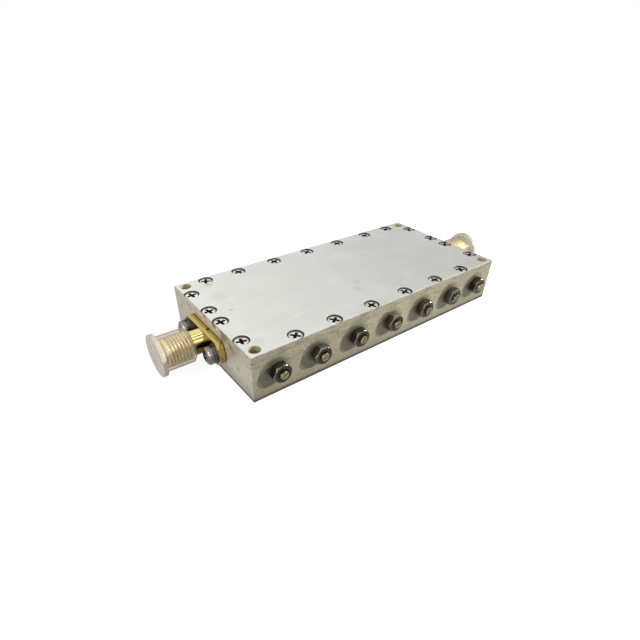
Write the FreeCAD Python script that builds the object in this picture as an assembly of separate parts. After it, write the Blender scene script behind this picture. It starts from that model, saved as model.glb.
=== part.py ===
"""Seven-resonator cavity filter with a coaxial jack on each end.

A milled and plated aluminium housing holds seven rods that stand out from its
far long wall. A tuning screw with a lock nut reaches into the open end of each
rod from the near long wall. A flat cover is held down by countersunk screws.

Millimetres. X runs along the filter, -Y is the tuning side, +Z is up. The
origin is the centre of the underside.
"""
import FreeCAD, Part
import math
import os

# Block
body_length = 75.0
body_width = 35.0
body_height = 11.0
cover_thickness = 1.5
floor_thickness = 1.9
near_wall = 3.6
far_wall = 3.6
end_wall = 3.0
pocket_radius = 1.2
edge_break = 0.12

# Corner holes, through housing and cover
corner_inset = 2.1
corner_hole_diameter = 2.6

# Cover screws
cover_screw_diameter = 2.0
cover_screw_length = 3.0
cover_screw_head_diameter = 3.0
cover_screw_head_land = 0.05
cover_screw_recess = 0.25
cover_hole_diameter = 2.3
near_row_inset = 1.8
far_row_inset = 1.8
end_row_inset = 1.65
near_row_end_inset = 11.4
far_row_end_inset = 7.3
end_row_inner_offset = 2.65
end_row_outer_inset = 6.25
cross_span = 2.3
cross_foot_span = 0.7
cross_depth = 0.9
cross_wing = 0.5

# Resonators and their tuning screws
axis_above_middle = 0.2
end_rod_gap = 3.0
second_pitch_drop = 0.1
third_pitch_drop = 0.5
rod_diameter = 3.4
rod_bore_diameter = 2.6
rod_bore_depth = 4.0
rod_end_gap = 2.2
rod_end_break = 0.2
spigot_diameter = 2.0
spigot_length = 2.4
tuning_screw_diameter = 2.0
tuning_screw_length = 10.0
tuning_screw_proud = 2.3
tuning_slot_width = 0.4
tuning_slot_depth = 0.5
lock_nut_flats = 4.0
lock_nut_thickness = 1.8

# Coaxial jack
left_port_offset = 0.8
right_port_offset = 0.0
flange_length = 15.88
flange_height = 5.7
flange_end_radius = 3.6
flange_thickness = 1.65
flange_edge_break = 0.12
flange_screw_pitch = 12.2
flange_hole_diameter = 2.3
collar_diameter = 5.4
barrel_diameter = 6.35
barrel_length = 10.1
barrel_start = 4.3
barrel_tip_break = 0.3
socket_diameter = 4.6
socket_depth = 1.9
insulator_diameter = 4.1
wall_insulator_diameter = 3.0
contact_diameter = 1.27
contact_bore_diameter = 0.94
contact_bore_depth = 3.0
contact_slit = 0.2
tail_diameter = 0.9
tap_depth = 0.7

# Flange screws and washers
flange_screw_diameter = 2.0
flange_screw_length = 5.0
flange_screw_head_diameter = 3.9
flange_screw_head_height = 1.5
flange_screw_dome = 0.7
spring_washer_diameter = 3.9
spring_washer_thickness = 0.5
spring_washer_split = 0.35
flat_washer_diameter = 4.4
flat_washer_thickness = 0.3
washer_bore_diameter = 2.2

# Dust cap
cap_mouth_gap = 0.1
cap_body_diameter = 7.7
cap_rim_diameter = 9.2
cap_rim_thickness = 1.0
cap_end_gap = 0.9
cap_mouth_break = 0.45
cap_rim_round = 0.25

# Fits
thread_clearance = 0.02
hole_extra_depth = 0.3

# How far each fastener happens to be turned, in degrees
near_row_turns = (42, 37, 9, 15, 3, 51)
far_row_turns = (66, 15, 15, 33, 15, 21, 33)
left_row_turns = (75, 9, 9, 9)
right_row_turns = (27, 42, 36, 54)
lock_nut_turns = (6, -8, 7, -4, 8, 6, 20)
tuning_slot_turns = (38, 12, 64, 25, 80, 50, 5)
flange_screw_turns = (20, 65)

# Places worked out from the sizes above
half_length = body_length / 2
half_width = body_width / 2
housing_height = body_height - cover_thickness
axis_height = body_height / 2 + axis_above_middle
inner_near = -half_width + near_wall
inner_far = half_width - far_wall
inner_end = half_length - end_wall
end_rod_x = inner_end - end_rod_gap
middle_pitch = (end_rod_x + second_pitch_drop + third_pitch_drop) / 3
rod_half_places = (
    middle_pitch,
    2 * middle_pitch - second_pitch_drop,
    end_rod_x,
)
rod_places = tuple(-x for x in reversed(rod_half_places)) + (0.0,) + rod_half_places
rod_free_end = inner_near + rod_end_gap
port_offsets = {-1: left_port_offset, 1: right_port_offset}
insulator_face = barrel_length - socket_depth
cap_mouth = barrel_start + cap_mouth_gap
cap_floor = barrel_length + cap_end_gap
cap_end = cap_floor + cap_rim_thickness
washer_stack = flat_washer_thickness + spring_washer_thickness


def vec(x, y, z):
    return FreeCAD.Vector(x, y, z)


def cylinder(diameter, length, start, direction):
    return Part.makeCylinder(diameter / 2, length, vec(*start), vec(*direction))


def turned(points):
    """Revolve a closed outline of (place along X, radius) points about X."""
    corners = [vec(x, radius, 0) for x, radius in points]
    outline = Part.makePolygon(corners + corners[:1])
    return Part.Face(outline).revolve(vec(0, 0, 0), vec(1, 0, 0), 360)


def upright_edges(shape):
    found = []
    for edge in shape.Edges:
        first, last = edge.Vertexes[0].Point, edge.Vertexes[-1].Point
        if abs(first.x - last.x) < 1e-6 and abs(first.y - last.y) < 1e-6:
            found.append(edge)
    return found


def plate(height, base):
    """Block of the filter's outline with broken outer edges."""
    block = Part.makeBox(body_length, body_width, height, vec(-half_length, -half_width, base))
    return block.makeChamfer(edge_break, block.Edges)


def corner_holes():
    x = half_length - corner_inset
    y = half_width - corner_inset
    places = [(sx * x, sy * y) for sx in (-1, 1) for sy in (-1, 1)]
    return [cylinder(corner_hole_diameter, body_height + 2, (px, py, -1), (0, 0, 1)) for px, py in places]


def near_row():
    """Cover screws along the tuning side, between the tuning screws."""
    inner = rod_half_places[0] / 2
    middle = (rod_half_places[0] + rod_half_places[1]) / 2
    outer = half_length - near_row_end_inset
    y = -half_width + near_row_inset
    return [(x, y) for x in (-outer, -middle, -inner, inner, middle, outer)]


def far_row():
    """Cover screws along the far side, over the rods apart from the last pair."""
    outer = half_length - far_row_end_inset
    y = half_width - far_row_inset
    inner = rod_half_places[:2]
    places = [-outer] + [-x for x in reversed(inner)] + [0.0] + list(inner) + [outer]
    return [(x, y) for x in places]


def end_row(side):
    x = side * (half_length - end_row_inset)
    outer = half_width - end_row_outer_inset
    return [(x, y) for y in (-outer, -end_row_inner_offset, end_row_inner_offset, outer)]


def all_cover_screw_places():
    return near_row() + far_row() + end_row(-1) + end_row(1)


def cross_recess(top, turn):
    """Two tapered wings that cross on the Z axis, below a head at the given height."""
    half_top = cross_span / 2
    half_foot = cross_foot_span / 2
    over = 0.2
    slope = (half_top - half_foot) / cross_depth
    corners = [
        vec(-half_top - slope * over, -cross_wing / 2, top + over),
        vec(half_top + slope * over, -cross_wing / 2, top + over),
        vec(half_foot, -cross_wing / 2, top - cross_depth),
        vec(-half_foot, -cross_wing / 2, top - cross_depth),
    ]
    wing = Part.Face(Part.makePolygon(corners + corners[:1])).extrude(vec(0, cross_wing, 0))
    other = wing.copy()
    other.rotate(vec(0, 0, 0), vec(0, 0, 1), 90)
    recess = wing.fuse(other)
    recess.rotate(vec(0, 0, 0), vec(0, 0, 1), turn)
    return recess


def cover_screw(x, y, turn):
    """Countersunk screw whose head sits a little below the cover's face."""
    head = cover_screw_head_diameter / 2
    shank = cover_screw_diameter / 2
    neck = cover_screw_head_land + head - shank
    tip = cover_screw_length
    blank = turned([
        (0, 0),
        (0, head),
        (cover_screw_head_land, head),
        (neck, shank),
        (tip - 0.2, shank),
        (tip, shank - 0.2),
        (tip, 0),
    ])
    blank.rotate(vec(0, 0, 0), vec(0, 1, 0), 90)
    screw = blank.cut(cross_recess(0, turn))
    screw.translate(vec(x, y, body_height - cover_screw_recess))
    return screw


def cover_screw_row(places, turns):
    return Part.makeCompound([cover_screw(x, y, turn) for (x, y), turn in zip(places, turns)])


def cover_screw_seat(x, y):
    """Clearance hole and countersink in the cover."""
    head = cover_screw_head_diameter / 2
    shank = cover_hole_diameter / 2
    land = cover_screw_recess + cover_screw_head_land
    over = 0.2
    mouth = head + land + over
    cone = Part.makeCone(mouth, shank, mouth - shank, vec(x, y, body_height + over), vec(0, 0, -1))
    hole = cylinder(cover_hole_diameter, cover_thickness + 2, (x, y, housing_height - 1), (0, 0, 1))
    return [cone, hole]


def make_cover():
    cover = plate(cover_thickness, housing_height)
    cuts = corner_holes()
    for x, y in all_cover_screw_places():
        cuts += cover_screw_seat(x, y)
    return cover.cut(cuts)


def make_pocket():
    """The milled cavity, open at the top and rounded at its upright corners."""
    pocket = Part.makeBox(
        2 * inner_end,
        inner_far - inner_near,
        housing_height - floor_thickness + 1,
        vec(-inner_end, inner_near, floor_thickness),
    )
    return pocket.makeFillet(pocket_radius, upright_edges(pocket))


def flange_screw_places(side):
    return [port_offsets[side] + s * flange_screw_pitch / 2 for s in (-1, 1)]


def make_housing():
    housing = plate(housing_height, 0)
    cuts = [make_pocket()] + corner_holes()
    screw_tip = body_height - cover_screw_recess - cover_screw_length
    depth = housing_height - screw_tip + hole_extra_depth
    tapped = cover_screw_diameter + 2 * thread_clearance
    for x, y in all_cover_screw_places():
        cuts.append(cylinder(tapped, depth + 1, (x, y, housing_height - depth), (0, 0, 1)))
    for x in rod_places:
        bore = tuning_screw_diameter + 2 * thread_clearance
        cuts.append(cylinder(bore, near_wall + 2, (x, -half_width - 1, axis_height), (0, 1, 0)))
        seat = (x, inner_far - 1, axis_height)
        cuts.append(cylinder(spigot_diameter, spigot_length + 1, seat, (0, 1, 0)))
    reach = flange_screw_length - flange_thickness - washer_stack + hole_extra_depth
    for side in (-1, 1):
        mouth = (side * (half_length + 1), port_offsets[side], axis_height)
        cuts.append(cylinder(wall_insulator_diameter, end_wall + 2, mouth, (-side, 0, 0)))
        for y in flange_screw_places(side):
            start = (side * (half_length + 1), y, axis_height)
            bore = flange_screw_diameter + 2 * thread_clearance
            cuts.append(cylinder(bore, reach + 1, start, (-side, 0, 0)))
    return housing.cut(cuts)


def make_resonator(x):
    """Rod with a spigot in the far wall and an open bore at its free end."""
    length = inner_far - rod_free_end
    rod = rod_diameter / 2
    bore = rod_bore_diameter / 2
    shape = turned([
        (-spigot_length, 0),
        (-spigot_length, spigot_diameter / 2),
        (0, spigot_diameter / 2),
        (0, rod),
        (length - rod_end_break, rod),
        (length, rod - rod_end_break),
        (length, bore),
        (length - rod_bore_depth, bore),
        (length - rod_bore_depth, 0),
    ])
    shape.rotate(vec(0, 0, 0), vec(0, 0, 1), -90)
    shape.translate(vec(x, inner_far, axis_height))
    if abs(x) > end_rod_x - 1e-6:
        side = 1 if x > 0 else -1
        start = (side * inner_end, port_offsets[side], axis_height)
        reach = end_rod_gap - rod + tap_depth
        shape = shape.cut(cylinder(tail_diameter, reach, start, (-side, 0, 0)))
    return shape


def tuning_screw(x, slot_turn):
    """Slotted screw, proud of the lock nut and reaching into the rod's bore."""
    radius = tuning_screw_diameter / 2
    blank = turned([
        (0, 0),
        (0, radius - 0.15),
        (0.15, radius),
        (tuning_screw_length - 0.2, radius),
        (tuning_screw_length, radius - 0.2),
        (tuning_screw_length, 0),
    ])
    slot = Part.makeBox(
        tuning_slot_depth + 1,
        tuning_screw_diameter + 1,
        tuning_slot_width,
        vec(-1, -radius - 0.5, -tuning_slot_width / 2),
    )
    slot.rotate(vec(0, 0, 0), vec(1, 0, 0), slot_turn)
    screw = blank.cut(slot)
    screw.rotate(vec(0, 0, 0), vec(0, 0, 1), 90)
    screw.translate(vec(x, -half_width - tuning_screw_proud, axis_height))
    return screw


def lock_nut(x, turn):
    """Hexagon nut with both faces chamfered, seated on the near wall."""
    corner = lock_nut_flats / math.sqrt(3)
    angles = [math.radians(turn + 60 * k) for k in range(6)]
    corners = [vec(0, corner * math.cos(a), corner * math.sin(a)) for a in angles]
    prism = Part.Face(Part.makePolygon(corners + corners[:1])).extrude(vec(lock_nut_thickness, 0, 0))
    fall = (corner - lock_nut_flats / 2) * math.tan(math.radians(30)) + 0.05
    face_radius = lock_nut_flats / 2 - 0.05
    barrel = turned([
        (0, 0),
        (0, face_radius),
        (fall, corner + 0.01),
        (lock_nut_thickness - fall, corner + 0.01),
        (lock_nut_thickness, face_radius),
        (lock_nut_thickness, 0),
    ])
    nut = prism.common(barrel)
    bore = tuning_screw_diameter + 2 * thread_clearance
    nut = nut.cut(cylinder(bore, lock_nut_thickness + 2, (-1, 0, 0), (1, 0, 0)))
    nut.rotate(vec(0, 0, 0), vec(0, 0, 1), -90)
    nut.translate(vec(x, -half_width, axis_height))
    return nut


def place_port(shape, side):
    """Move a jack piece from its own frame, +X outwards, to one end of the housing."""
    placed = shape.copy()
    if side < 0:
        placed.rotate(vec(0, 0, 0), vec(0, 0, 1), 180)
    placed.translate(vec(side * half_length, port_offsets[side], axis_height))
    return placed


def flange_blank():
    """Two-hole flange with straight long edges and arched ends."""
    half = flange_length / 2
    top = flange_height / 2
    corner = half - (flange_end_radius - math.sqrt(flange_end_radius**2 - top**2))
    edges = [
        Part.LineSegment(vec(0, -corner, top), vec(0, corner, top)).toShape(),
        Part.Arc(vec(0, corner, top), vec(0, half, 0), vec(0, corner, -top)).toShape(),
        Part.LineSegment(vec(0, corner, -top), vec(0, -corner, -top)).toShape(),
        Part.Arc(vec(0, -corner, -top), vec(0, -half, 0), vec(0, -corner, top)).toShape(),
    ]
    blank = Part.Face(Part.Wire(edges)).extrude(vec(flange_thickness, 0, 0))
    front = [e for e in blank.Edges if all(abs(v.Point.x - flange_thickness) < 1e-6 for v in e.Vertexes)]
    return blank.makeChamfer(flange_edge_break, front)


def jack_shell():
    """Flange, collar and barrel turned and milled as one piece."""
    collar = collar_diameter / 2
    barrel = barrel_diameter / 2
    lead = barrel - collar
    body = turned([
        (0, 0),
        (0, collar),
        (barrel_start, collar),
        (barrel_start + lead, barrel),
        (barrel_length - barrel_tip_break, barrel),
        (barrel_length, barrel - barrel_tip_break),
        (barrel_length, 0),
    ])
    shell = flange_blank().fuse(body)
    cuts = [
        cylinder(insulator_diameter, barrel_length + 2, (-1, 0, 0), (1, 0, 0)),
        cylinder(socket_diameter, socket_depth + 1, (insulator_face, 0, 0), (1, 0, 0)),
    ]
    for s in (-1, 1):
        start = (-1, s * flange_screw_pitch / 2, 0)
        cuts.append(cylinder(flange_hole_diameter, flange_thickness + 2, start, (1, 0, 0)))
    return shell.cut(cuts)


def jack_insulator():
    """Stepped insulator: wide in the barrel, narrow through the end wall."""
    wide = insulator_diameter / 2
    narrow = wall_insulator_diameter / 2
    contact = contact_diameter / 2
    tail = tail_diameter / 2
    return turned([
        (-end_wall, tail),
        (-end_wall, narrow),
        (0, narrow),
        (0, wide),
        (insulator_face, wide),
        (insulator_face, contact),
        (0, contact),
        (0, tail),
    ])


def jack_contact():
    """Slit socket at the front and a thin tail that is soldered into the end rod."""
    tail_end = -(end_wall + end_rod_gap - rod_diameter / 2 + tap_depth)
    contact = turned([
        (tail_end, 0),
        (tail_end, tail_diameter / 2),
        (0, tail_diameter / 2),
        (0, contact_diameter / 2),
        (insulator_face, contact_diameter / 2),
        (insulator_face, contact_bore_diameter / 2),
        (insulator_face - contact_bore_depth, contact_bore_diameter / 2),
        (insulator_face - contact_bore_depth, 0),
    ])
    slit = Part.makeBox(
        contact_bore_depth + 1,
        contact_diameter + 1,
        contact_slit,
        vec(insulator_face - contact_bore_depth, -(contact_diameter + 1) / 2, -contact_slit / 2),
    )
    crossing = slit.copy()
    crossing.rotate(vec(0, 0, 0), vec(1, 0, 0), 90)
    return contact.cut([slit, crossing])


def dust_cap():
    """Push-on cap with a wider rim round its closed end."""
    bore = barrel_diameter / 2 + thread_clearance
    body = cap_body_diameter / 2
    rim = cap_rim_diameter / 2
    return turned([
        (cap_mouth, bore),
        (cap_mouth, body - cap_mouth_break),
        (cap_mouth + cap_mouth_break, body),
        (cap_floor, body),
        (cap_floor, rim - cap_rim_round),
        (cap_floor + cap_rim_round, rim),
        (cap_end - cap_rim_round, rim),
        (cap_end, rim - cap_rim_round),
        (cap_end, 0),
        (cap_floor, 0),
        (cap_floor, bore),
    ])


def flange_screw(turn):
    """Round-headed screw, head outwards, seated on the spring washer."""
    seat = flange_thickness + washer_stack
    head = flange_screw_head_diameter / 2
    shank = flange_screw_diameter / 2
    top = seat + flange_screw_head_height
    shoulder = top - flange_screw_dome
    waist = vec(top - 0.28 * flange_screw_dome, 0.72 * head, 0)
    edges = [
        Part.LineSegment(vec(seat - flange_screw_length, 0, 0), vec(seat - flange_screw_length, shank, 0)),
        Part.LineSegment(vec(seat - flange_screw_length, shank, 0), vec(seat, shank, 0)),
        Part.LineSegment(vec(seat, shank, 0), vec(seat, head, 0)),
        Part.LineSegment(vec(seat, head, 0), vec(shoulder, head, 0)),
        Part.Arc(vec(shoulder, head, 0), waist, vec(top, 0, 0)),
        Part.LineSegment(vec(top, 0, 0), vec(seat - flange_screw_length, 0, 0)),
    ]
    outline = Part.Wire([e.toShape() for e in edges])
    blank = Part.Face(outline).revolve(vec(0, 0, 0), vec(1, 0, 0), 360)
    recess = cross_recess(0, turn)
    recess.rotate(vec(0, 0, 0), vec(0, 1, 0), 90)
    recess.translate(vec(top, 0, 0))
    return blank.cut(recess)


def spring_washer():
    """Split ring."""
    start = flange_thickness + flat_washer_thickness
    ring = cylinder(spring_washer_diameter, spring_washer_thickness, (start, 0, 0), (1, 0, 0))
    hole = cylinder(washer_bore_diameter, spring_washer_thickness + 2, (start - 1, 0, 0), (1, 0, 0))
    split = Part.makeBox(
        spring_washer_thickness + 2,
        spring_washer_split,
        spring_washer_diameter,
        vec(start - 1, -spring_washer_split / 2, 0),
    )
    return ring.cut([hole, split])


def flat_washer():
    start = flange_thickness
    ring = cylinder(flat_washer_diameter, flat_washer_thickness, (start, 0, 0), (1, 0, 0))
    return ring.cut(cylinder(washer_bore_diameter, flat_washer_thickness + 2, (start - 1, 0, 0), (1, 0, 0)))


def both_flange_holes(pieces):
    """One compound with a piece at each of the flange's two holes."""
    placed = []
    for s, piece in zip((-1, 1), pieces):
        piece.translate(vec(0, s * flange_screw_pitch / 2, 0))
        placed.append(piece)
    return Part.makeCompound(placed)


def jack_pieces():
    return {
        "jack_shell": jack_shell(),
        "jack_insulator": jack_insulator(),
        "jack_contact": jack_contact(),
        "dust_cap": dust_cap(),
        "flange_screws": both_flange_holes([flange_screw(turn) for turn in flange_screw_turns]),
        "spring_washers": both_flange_holes([spring_washer(), spring_washer()]),
        "flat_washers": both_flange_holes([flat_washer(), flat_washer()]),
    }


def build():
    nodes = {
        "housing": make_housing(),
        "cover": make_cover(),
        "near_cover_screws": cover_screw_row(near_row(), near_row_turns),
        "far_cover_screws": cover_screw_row(far_row(), far_row_turns),
        "left_cover_screws": cover_screw_row(end_row(-1), left_row_turns),
        "right_cover_screws": cover_screw_row(end_row(1), right_row_turns),
    }
    for i, x in enumerate(rod_places):
        nodes[f"resonator_{i + 1}"] = make_resonator(x)
        nodes[f"tuning_screw_{i + 1}"] = tuning_screw(x, tuning_slot_turns[i])
        nodes[f"lock_nut_{i + 1}"] = lock_nut(x, lock_nut_turns[i])
    for name, piece in jack_pieces().items():
        nodes[f"left_{name}"] = place_port(piece, -1)
        nodes[f"right_{name}"] = place_port(piece, 1)
    return nodes


os.makedirs("parts", exist_ok=True)
for node, shape in build().items():
    shape.exportStep(os.path.join("parts", node + ".step"))
    print(node, len(shape.Solids), "solid, valid", shape.isValid(), "volume", round(shape.Volume, 2))
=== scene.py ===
"""Seven-resonator cavity filter: its finishes, small fasteners, threads, caps and stage.

Everything is in metres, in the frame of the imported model: X along the filter, the
tuning side towards -Y, +Z up, and the underside at zero.
"""

import math

import bmesh
import bpy
from bpy.props import FloatProperty, FloatVectorProperty, PointerProperty
from mathutils import Matrix, Vector


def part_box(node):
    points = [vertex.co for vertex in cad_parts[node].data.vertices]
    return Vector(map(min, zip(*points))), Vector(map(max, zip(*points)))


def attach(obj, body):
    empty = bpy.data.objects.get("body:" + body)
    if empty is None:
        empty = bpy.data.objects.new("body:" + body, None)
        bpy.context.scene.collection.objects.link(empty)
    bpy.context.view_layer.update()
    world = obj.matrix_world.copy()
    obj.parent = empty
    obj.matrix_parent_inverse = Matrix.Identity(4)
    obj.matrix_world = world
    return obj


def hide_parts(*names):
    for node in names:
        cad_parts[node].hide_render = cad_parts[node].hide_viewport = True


bl_info = {
    "name": "Cavity filter",
    "version": (1, 0, 0),
    "blender": (4, 5, 0),
    "location": "3D View > Sidebar > Filter",
    "description": "Finishes a cavity filter and sets its stage",
    "category": "Object",
}

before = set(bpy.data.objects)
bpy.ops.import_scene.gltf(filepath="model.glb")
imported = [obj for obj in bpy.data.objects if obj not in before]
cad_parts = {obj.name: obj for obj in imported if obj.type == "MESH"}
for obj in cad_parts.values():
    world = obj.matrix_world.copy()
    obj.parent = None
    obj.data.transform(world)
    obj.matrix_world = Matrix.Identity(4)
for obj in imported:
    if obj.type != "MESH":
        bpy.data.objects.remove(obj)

# What every part here shares
MM = 0.001
BODY = "root"
RINGS_PER_PITCH = 8
SMOOTH_ANGLE = math.radians(32)
TINY = 1e-9
WHOLE_TURNS = 100.0
CAMERA_RANGE = (0.005, 50.0)
FLOOR_RADIUS = 6.0

# Small distances: vertices taken as one, the skin of a face, what a thread keeps clear of, the
# point of a screw, a face's own flatness, and the broken edge of a socket
MERGE = 0.001 * MM
SKIN = 0.05 * MM
THREAD_GAP = 0.05 * MM
SCREW_POINT = 0.2 * MM
FLAT = 0.02 * MM
SOCKET_EDGE = 0.1 * MM

# The block, read from the frame
HOUSING_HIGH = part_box("housing")[1]
COVER_LOW, COVER_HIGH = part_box("cover")
TOP = COVER_HIGH.z
SEAM = COVER_LOW.z
HALF_LENGTH = HOUSING_HIGH.x
HALF_WIDTH = HOUSING_HIGH.y
CORNER_HOLE_INSET = 2.1 * MM
CORNER_HOLE_RADIUS = 1.3 * MM

SIDES = {"left": -1, "right": 1}
STATIONS = range(1, 8)

# How far each fastener happens to be turned, in degrees
COVER_SCREW_TURNS = {
    "near": (42, 37, 9, 15, 3, 51),
    "far": (66, 15, 15, 33, 15, 21, 33),
    "left": (75, 9, 9, 9),
    "right": (27, 42, 36, 54),
}
LOCK_NUT_TURNS = (6, -8, 7, -4, 8, 6, 20)
TUNING_SLOT_TURNS = (38, 12, 64, 25, 80, 50, 5)
FLANGE_SCREW_TURNS = (20, 65)


def spin(degrees, axis="Z"):
    return Matrix.Rotation(math.radians(degrees), 4, axis)


# Rotations that carry a part's own axis, +Z, to where it points on the filter
TOWARDS_NEAR = spin(90, "X")
OUTWARDS = {"right": spin(90, "Y"), "left": spin(180) @ spin(90, "Y")}

# Scale of a grain that is the same along X, Y and Z
EVEN = (900.0, 900.0, 900.0)

# Marks on the plating, as (place in millimetres, reach in millimetres, strength)
TOP_MARKS = (
    ((-30.6, 13.4, 11.0), 1.3, 0.45),
    ((-0.9, -5.8, 11.0), 1.5, 0.16),
    ((-2.9, -8.5, 11.0), 1.6, 0.14),
    ((-31.9, 0.1, 11.0), 0.6, 0.35),
    ((-33.3, -13.4, 11.0), 1.8, 0.14),
    ((-31.5, 6.8, 11.0), 3.2, 0.10),
)
SIDE_MARKS = (
    ((-37.5, 14.6, 6.9), 0.8, 0.60),
    ((-37.5, 1.5, 10.7), 0.9, 0.80),
    ((-37.5, -2.7, 10.6), 1.3, 0.80),
    ((-37.5, -6.9, 10.3), 2.3, 0.75),
    ((-37.5, -9.6, 9.0), 1.2, 0.55),
    ((-37.5, -11.9, 5.0), 0.7, 0.55),
    ((-16.5, -17.5, 8.7), 0.4, 0.70),
)


def srgb(red, green, blue):
    """A colour given as 0 to 255 in a picture, as the linear colour of a shader."""
    def linear(level):
        part = level / 255
        return part / 12.92 if part <= 0.04045 else ((part + 0.055) / 1.055) ** 2.4
    return tuple(linear(level) for level in (red, green, blue))


# Painted shade in the recesses of the screw heads
RECESS_SHADE = srgb(22, 20, 17)

# Painted shade about each lock nut: a dark painted reflection of the nut above it and its painted shadow
# to the lower left. Each row: how far left of and above its middle, reach (all in millimetres),
# raggedness, where on the mask it starts and is full, strength and linear colour
NUT_PAINTED_SHADE = (
    (0.3, 0.7, 4.0, 0.30, 0.15, 0.65, 0.62, srgb(62, 56, 42)),
    (1.7, -0.2, 3.2, 0.25, 0.03, 0.07, 0.52, (0.070, 0.064, 0.032)),
)


# Settings that a user would change

def colour(name, about, default):
    return FloatVectorProperty(
        name=name, description=about, subtype="COLOR", size=3, min=0, max=1, default=default)


def length(name, about, millimetres):
    return FloatProperty(
        name=name, description=about, unit="LENGTH", subtype="DISTANCE", min=0,
        default=millimetres * MM)


def share(name, about, default):
    return FloatProperty(name=name, description=about, subtype="FACTOR", min=0, max=1, default=default)


def amount(name, about, default):
    return FloatProperty(name=name, description=about, min=0, default=default)


def point(name, about, *millimetres):
    return FloatVectorProperty(
        name=name, description=about, subtype="TRANSLATION", unit="LENGTH",
        default=[part * MM for part in millimetres])


class PlatingSettings(bpy.types.PropertyGroup):
    """Silver plating of the housing and the cover."""
    # The end, side and cover edge colours are the same plating as the top, made darker as painted shade
    top: colour("Top", "Brushed face of the cover", srgb(235, 236, 231))
    end: colour("End", "Short faces of the block", srgb(224, 216, 197))
    side: colour("Side", "Long faces of the block", srgb(190, 181, 153))
    cover_edge: colour("Cover edge", "Rim of the cover below its top", srgb(184, 177, 155))
    hole: colour("Hole", "Walls of the four corner holes", srgb(206, 192, 158))
    stain: colour("Stain", "Brown marks on the plating", srgb(150, 126, 84))
    # Grime is real dirt in the marks, specks, smears and the seam, and painted shade towards the
    # housing's lower edge; it also darkens the long faces towards the left
    grime_and_shade: colour("Grime", "Dirt in the seam and along the lower edge", srgb(62, 56, 42))
    # The countersink colour is painted shade on the countersink walls
    sink: colour("Countersink", "Walls of the countersinks", srgb(30, 28, 23))
    top_metal: share("Top metal", "How metallic the top is", 0.85)
    end_metal: share("End metal", "How metallic the short faces are", 0.34)
    side_metal: share("Side metal", "How metallic the long faces are", 0.15)
    roughness: share("Roughness", "Roughness of the plating", 0.32)


class FineThread:
    """Thread that the small screws share."""
    pitch: length("Pitch", "Pitch of the thread", 0.4)
    thread: length("Thread depth", "Depth of the thread", 0.2)


class CoverScrewSettings(FineThread, bpy.types.PropertyGroup):
    """Countersunk screws that hold the cover."""
    head: length("Head", "Diameter of the head", 2.8)
    sink: length("Sink", "How far the head's face lies below the solid's", 0.02)
    shank: length("Shank", "Outer diameter of the thread", 2.0)
    overall: length("Length", "From the head's face to the tip", 2.9)
    land: length("Land", "Straight rim of the head", 0.05)
    cross: length("Cross", "Span of the recess at the face", 2.3)
    cross_foot: length("Cross foot", "Span of the recess at its foot", 0.7)
    wing: length("Wing", "Width of a wing of the recess", 0.68)
    depth: length("Depth", "Depth of the recess", 0.9)


class TuningSettings(FineThread, bpy.types.PropertyGroup):
    """Tuning screws and their lock nuts."""
    shank: length("Shank", "Outer diameter of the thread", 2.0)
    slot: length("Slot", "Width of the slot", 0.3)
    slot_depth: length("Slot depth", "Depth of the slot", 0.14)
    nut_flats: length("Nut", "Across the nut's flats", 4.0)
    nut_bore: length("Nut bore", "Bore of the nut", 2.04)


class JackSettings(bpy.types.PropertyGroup):
    """Flanged coaxial jack."""
    flange_height: length("Flange height", "Height of the flange", 5.7)
    flange_end: length("Flange end", "Radius of the flange's ends", 3.6)
    flange: length("Flange", "Thickness of the flange", 1.65)
    edge: length("Edge", "Width of the broken edges", 0.12)
    screw_pitch: length("Screw pitch", "Between the two screw holes", 12.2)
    screw_hole: length("Screw hole", "Diameter of a screw hole", 2.3)
    collar: length("Collar", "Diameter of the plain collar", 5.4)
    barrel: length("Barrel", "Outer diameter of the thread", 6.35)
    barrel_start: length("Barrel start", "Where the threaded barrel starts", 4.3)
    bore: length("Bore", "Bore behind the socket", 4.1)
    socket: length("Socket", "Diameter of the socket", 4.6)
    socket_depth: length("Socket depth", "Depth of the socket", 1.9)
    pitch: length("Pitch", "Pitch of the thread", 0.706)
    thread: length("Thread depth", "Depth of the thread", 0.38)
    nick: length("Nick", "Width of the nick in the left flange's edge", 0.45)


class FlangeScrewSettings(FineThread, bpy.types.PropertyGroup):
    """Round-headed screws and washers of the flanges."""
    head: length("Head", "Diameter of the head", 3.9)
    height: length("Height", "Height of the head", 1.5)
    shank: length("Shank", "Outer diameter of the thread", 2.0)
    reach: length("Reach", "From under the head to the tip", 5.0)
    cross: length("Cross", "Span of the recess at the face", 2.3)
    cross_foot: length("Cross foot", "Span of the recess at its foot", 0.8)
    wing: length("Wing", "Width of a wing of the recess", 0.5)
    depth: length("Depth", "Depth of the recess", 1.0)


class CapSettings(bpy.types.PropertyGroup):
    """Push-on dust caps."""
    body: length("Body", "Diameter of the cap's body", 7.7)
    rim: length("Rim", "Thickness of the closed end", 1.0)
    bore: length("Bore", "Bore of the cap", 6.39)
    plastic: colour("Plastic", "Colour of the plastic", srgb(232, 222, 205))
    milky: share("Milky", "How much each face of the wall hides", 0.31)
    milky_end: share("Milky end", "How much each face of the closed end hides", 0.80)
    outline: colour("Outline", "Colour of the wall where it is seen edge on", srgb(188, 168, 134))


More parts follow.
